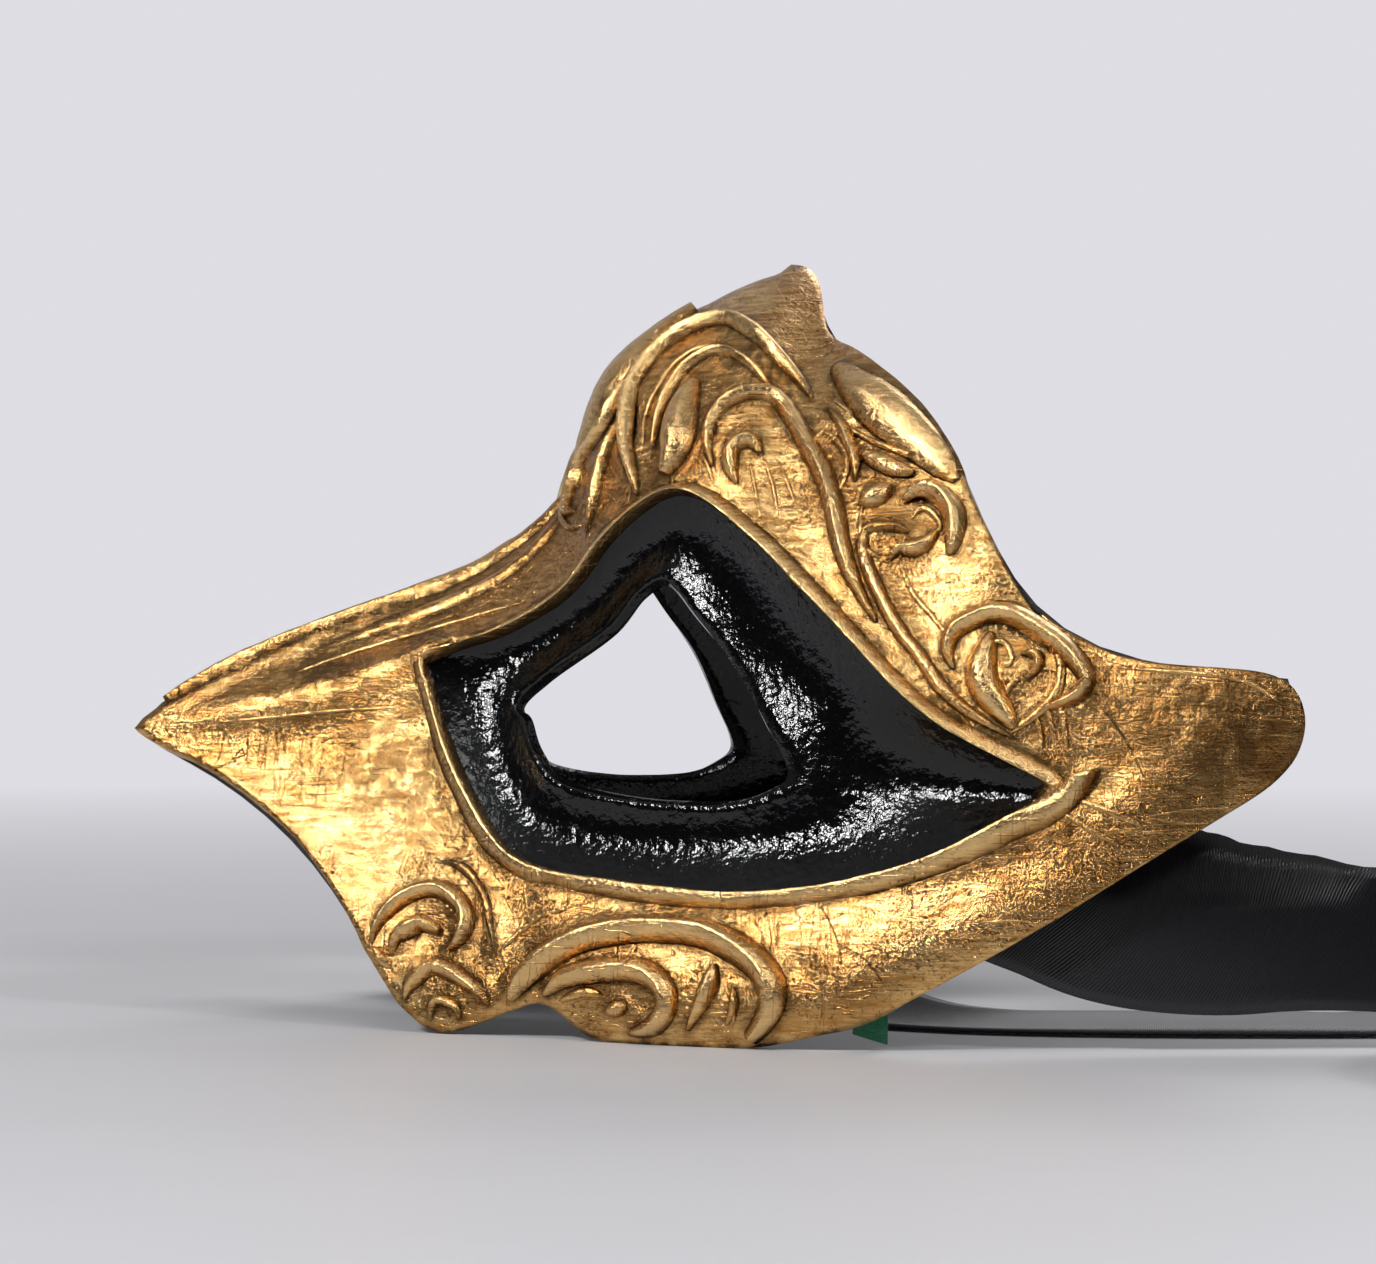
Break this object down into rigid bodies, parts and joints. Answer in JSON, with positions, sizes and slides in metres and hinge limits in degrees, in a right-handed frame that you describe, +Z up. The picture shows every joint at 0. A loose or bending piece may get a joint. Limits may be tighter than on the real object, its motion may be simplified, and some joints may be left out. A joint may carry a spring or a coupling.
{
  "type": "venetian half mask",
  "caption": "Half mask with a long pointed nose, a crest, raised scrollwork round lacquered eye sockets, a felt lining and satin ribbon ties.",
  "frame": {"origin": "on the table, under the middle of the mask without its ribbons", "axes": "+Z up as the mask stands on its cheeks, -Y towards the tip of the nose, +X towards the wearer's left"},
  "size_m": [0.2535, 0.2976, 0.112],
  "materials": {
    "gold_leaf": "gold leaf over papier-mache, worn, with brown patina in the hollows",
    "lacquer": "gloss black lacquer over papier-mache, slightly pebbled",
    "felt": "matt black felt",
    "satin": "black satin ribbon with woven edges",
    "green_felt": "matt green felt"
  },
  "bodies": {
    "root": {"shell": "gold_leaf", "lining": "felt", "nose_ridge": "gold_leaf", "forehead_lobe": "gold_leaf", "left_eye_panel": "lacquer", "right_eye_panel": "lacquer", "left_upper_bead": "gold_leaf", "right_upper_bead": "gold_leaf", "left_lower_bead": "gold_leaf", "right_lower_bead": "gold_leaf", "left_arch": "gold_leaf", "right_arch": "gold_leaf", "left_brow_drop": "gold_leaf", "right_brow_drop": "gold_leaf", "left_brow_stem": "gold_leaf", "right_brow_stem": "gold_leaf", "left_forehead_scroll": "gold_leaf", "right_forehead_scroll": "gold_leaf", "left_vine": "gold_leaf", "right_vine": "gold_leaf", "left_middle_scroll": "gold_leaf", "right_middle_scroll": "gold_leaf", "left_temple_scroll": "gold_leaf", "right_temple_scroll": "gold_leaf", "left_wing_leaf": "gold_leaf", "right_wing_leaf": "gold_leaf", "left_front_cheek_scroll": "gold_leaf", "right_front_cheek_scroll": "gold_leaf", "left_rear_cheek_scroll": "gold_leaf", "right_rear_cheek_scroll": "gold_leaf", "left_nose_roll": "gold_leaf", "right_nose_roll": "gold_leaf", "left_ribbon_patch": "felt", "right_ribbon_patch": "felt", "left_ribbon": "satin", "right_ribbon": "satin", "left_ribbon_roll": "satin", "right_ribbon_roll": "satin", "green_tag": "green_felt"}
  },
  "joints": []
}
